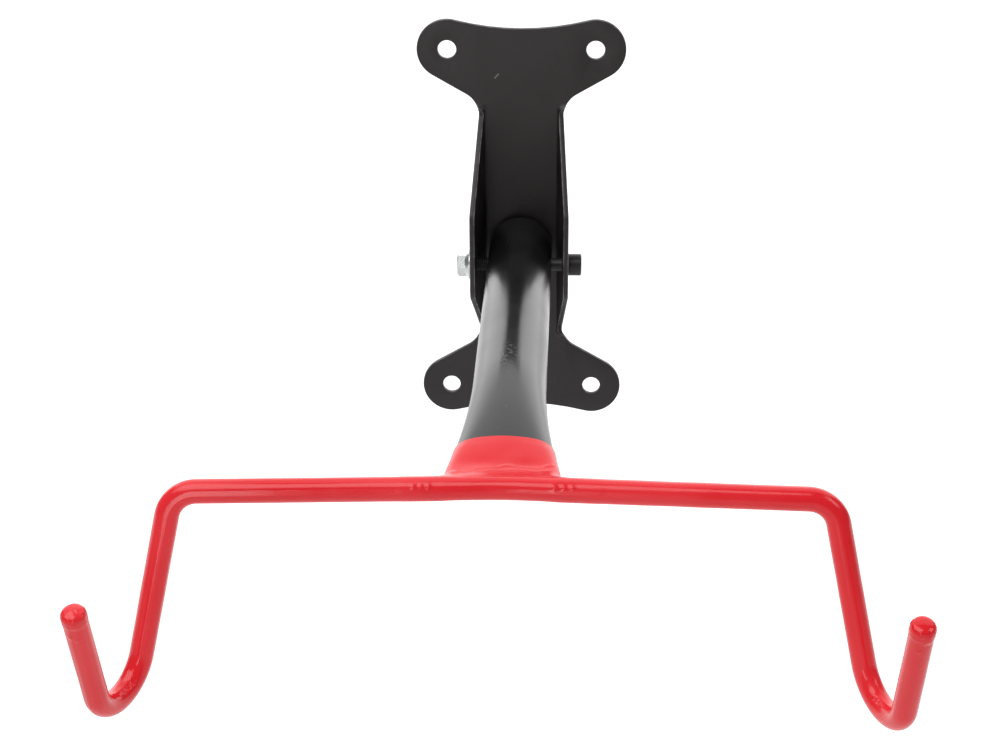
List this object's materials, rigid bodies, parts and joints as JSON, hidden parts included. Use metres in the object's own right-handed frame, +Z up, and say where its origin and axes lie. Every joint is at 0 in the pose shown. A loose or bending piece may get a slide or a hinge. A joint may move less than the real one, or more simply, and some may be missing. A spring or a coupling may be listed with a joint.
{
  "type": "bicycle wall rack",
  "caption": "Fold-up wall rack for a bicycle: steel wall plate, hinged black tube arm and a crossbar with two vinyl-dipped hooks.",
  "frame": {"origin": "centre of the wall plate's back face, on the wall", "axes": "+Y into the wall, out of the plate's back face; +X to the right as seen by someone facing the wall; +Z up; the arm stands out along -Y"},
  "size_m": [0.3803, 0.4219, 0.252],
  "materials": {
    "black_powder_coat": "satin black powder coat with fine dust",
    "black_gloss_paint": "semi-gloss black paint over a smooth round tube",
    "bare_steel": "bare drawn rod, hidden under the vinyl",
    "red_vinyl": "glossy red dipped vinyl with faint drips and ridges",
    "black_oxide": "black oxide socket-head screw",
    "bright_zinc": "bright zinc plate",
    "weld_metal": "bare weld bead, hidden under the vinyl"
  },
  "bodies": {
    "bracket": {"wall_plate": "black_powder_coat", "pivot_bolt": "black_oxide", "flange_nut": "bright_zinc"},
    "arm": {"arm_tube": "black_gloss_paint", "hook_bar": "bare_steel", "hook_coating": "red_vinyl", "weld_bead_left": "weld_metal", "weld_bead_right": "weld_metal"}
  },
  "joints": [
    {"name": "arm_fold", "type": "hinge", "parent": "bracket", "child": "arm", "pos_m": [0, -0.04, -0.013], "axis": [-1, 0, 0], "range_deg": [0, 90]}
  ]
}
